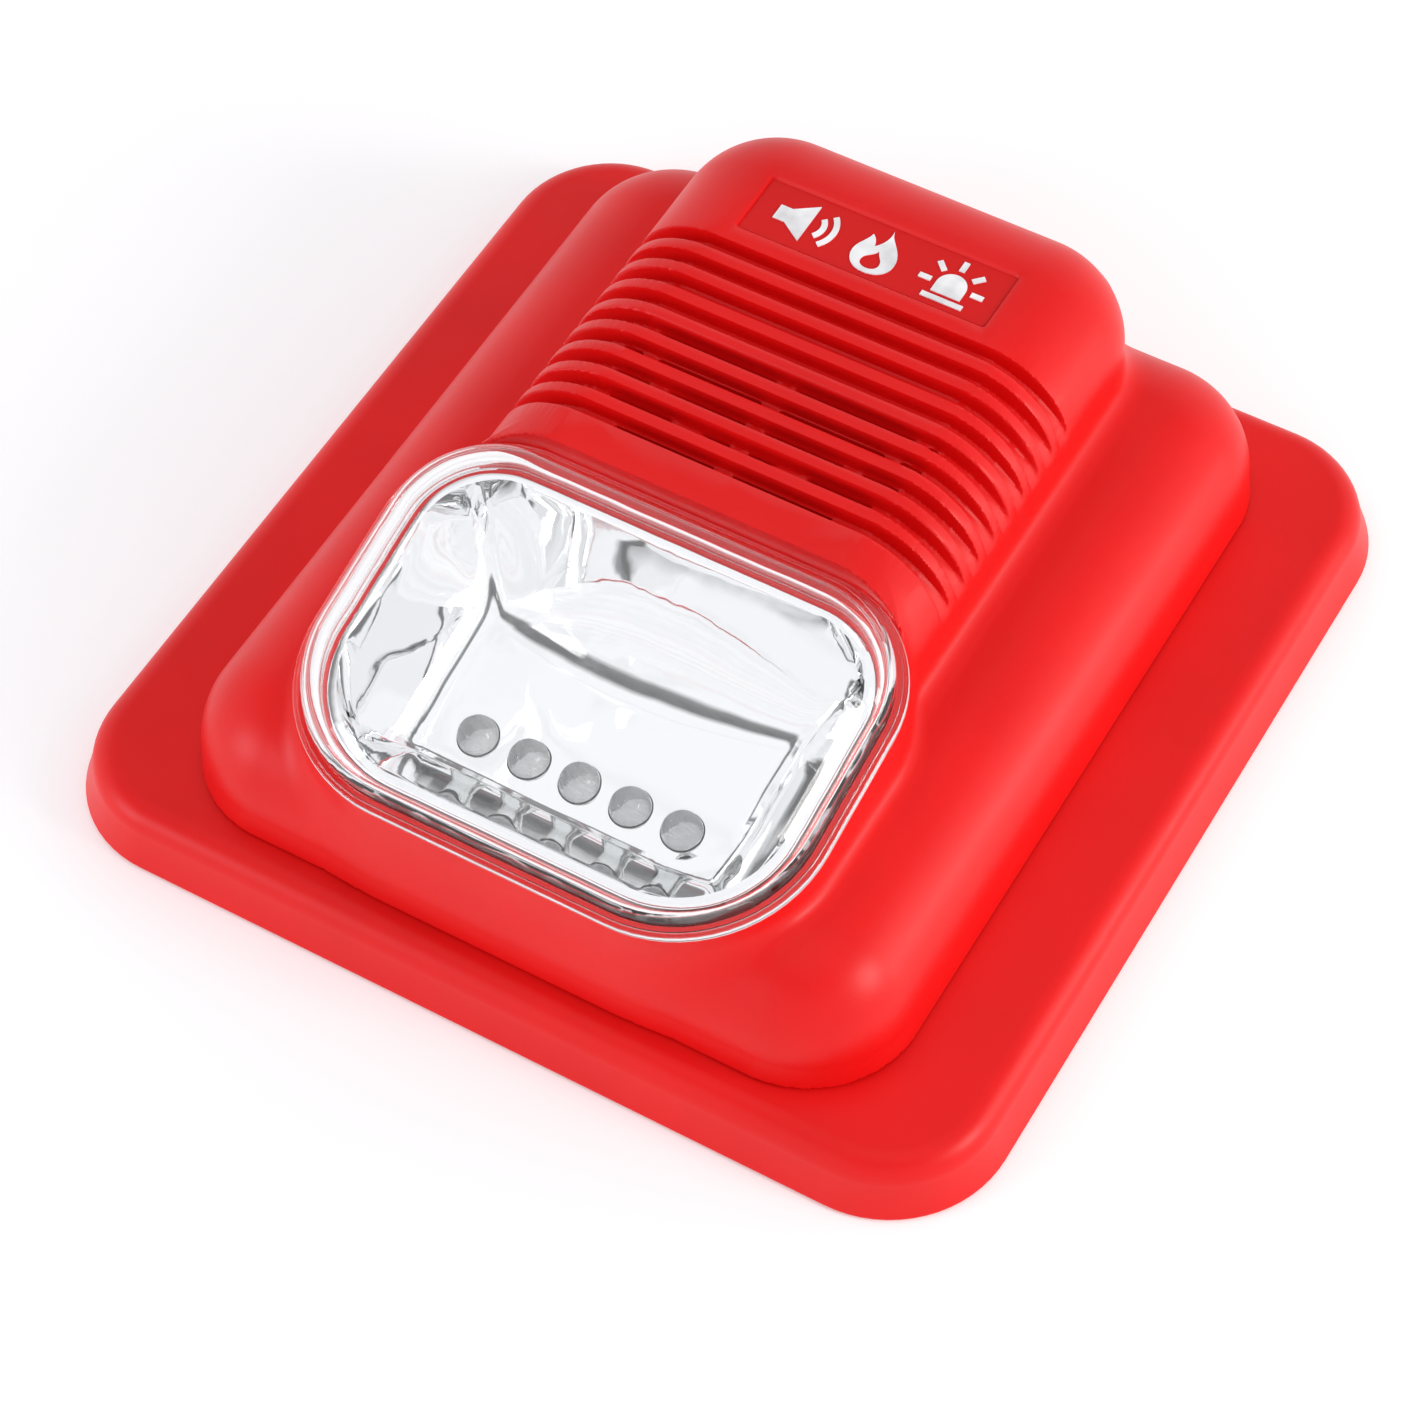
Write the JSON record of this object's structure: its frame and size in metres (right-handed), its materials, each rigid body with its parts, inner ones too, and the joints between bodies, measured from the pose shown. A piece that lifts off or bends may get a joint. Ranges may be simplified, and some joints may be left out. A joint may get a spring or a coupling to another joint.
{
  "type": "horn strobe",
  "caption": "Wall-mounted fire alarm horn strobe: square back plate, two-tier red housing with a ribbed horn grille and a clear domed strobe lens over a mirrored bowl.",
  "frame": {"origin": "centre of the back plate's rear rim, on the wall plane", "axes": "+Z away from the wall, +Y from the strobe lens towards the horn and label end, +X across"},
  "size_m": [0.1242, 0.125, 0.0427],
  "materials": {
    "red_plate": "satin moulded, fine spark texture",
    "red_housing": "satin moulded, fine spark texture",
    "clear_lens": "polished clear polycarbonate",
    "mirror_plating": "vacuum-plated mirror",
    "lamp_epoxy": "clear epoxy",
    "circuit_board": "solder mask",
    "screw_steel": "zinc plated",
    "capacitor_sleeve": "shrink sleeve",
    "copper_winding": "enamelled copper",
    "black_plastic": "moulded",
    "dust_cloth": "woven mesh",
    "brass": "rolled sheet",
    "terminal_green": "moulded",
    "wire_red": "wire insulation",
    "wire_black": "wire insulation"
  },
  "bodies": {
    "back_plate": {"base_plate": "red_plate", "terminal_block": "terminal_green", "contact_clip_1": "brass", "contact_clip_2": "brass"},
    "front_unit": {"front_housing": "red_housing", "strobe_lens": "clear_lens", "reflector": "mirror_plating", "led_1": "lamp_epoxy", "led_2": "lamp_epoxy", "led_3": "lamp_epoxy", "led_4": "lamp_epoxy", "led_5": "lamp_epoxy", "strobe_board": "circuit_board", "main_board": "circuit_board", "board_screw_1": "screw_steel", "board_screw_2": "screw_steel", "board_screw_3": "screw_steel", "board_screw_4": "screw_steel", "storage_capacitor": "capacitor_sleeve", "boost_coil": "copper_winding", "driver_transistor": "black_plastic", "control_chip": "black_plastic", "sounder_cup": "black_plastic", "sounder_ring": "black_plastic", "dust_mesh": "dust_cloth", "plug_pin_1": "brass", "plug_pin_2": "brass", "strobe_lead_1": "wire_red", "strobe_lead_2": "wire_black", "sounder_lead_1": "wire_red", "sounder_lead_2": "wire_black"},
    "horn_disc": {"piezo_disc": "brass"},
    "terminal_screw_left": {"terminal_screw_1": "screw_steel"},
    "terminal_screw_right": {"terminal_screw_2": "screw_steel"}
  },
  "joints": [
    {"name": "front_unit_lift", "type": "slide", "parent": "back_plate", "child": "front_unit", "axis": [0, 0, 1], "range_m": [0, 0.06]},
    {"name": "horn_disc_travel", "type": "slide", "parent": "front_unit", "child": "horn_disc", "axis": [0, 0, 1], "range_m": [-0.00015, 0.00015], "stiffness_N_per_m": 2000},
    {"name": "terminal_screw_left_turn", "type": "hinge", "parent": "back_plate", "child": "terminal_screw_left", "pos_m": [-0.0042, 0.042, 0.0136], "axis": [0, 0, 1], "range_deg": [0, 630]},
    {"name": "terminal_screw_right_turn", "type": "hinge", "parent": "back_plate", "child": "terminal_screw_right", "pos_m": [0.0042, 0.042, 0.0136], "axis": [0, 0, 1], "range_deg": [0, 630]}
  ]
}
